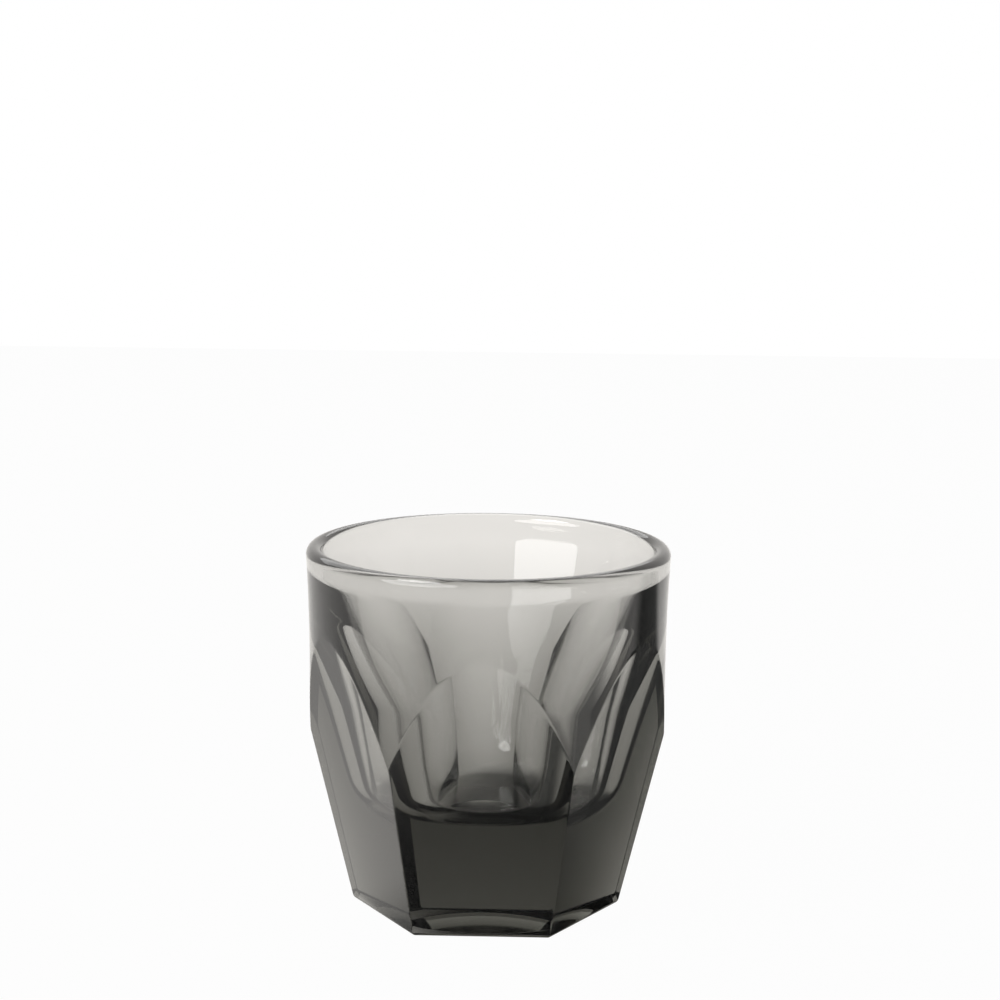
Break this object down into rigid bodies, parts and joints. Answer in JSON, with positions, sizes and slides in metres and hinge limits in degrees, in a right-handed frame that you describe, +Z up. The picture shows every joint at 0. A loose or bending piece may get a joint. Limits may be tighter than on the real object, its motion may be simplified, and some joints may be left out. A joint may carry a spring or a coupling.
{
  "type": "cortado glass",
  "caption": "Small smoke-grey pressed glass for coffee: round bowl and rim on a thick base, flat arched facets round the outside, hexagonal foot.",
  "frame": {"origin": "centre of the foot, on the surface that the glass stands on", "axes": "+Z up along the axis of the bowl, -Y out through the middle of one facet, +X out through a ridge between two facets"},
  "size_m": [0.0737, 0.0736, 0.075],
  "materials": {
    "smoke_glass": "fire-polished pressed glass, tinted smoke grey right through"
  },
  "bodies": {
    "root": {"tumbler": "smoke_glass"}
  },
  "joints": []
}
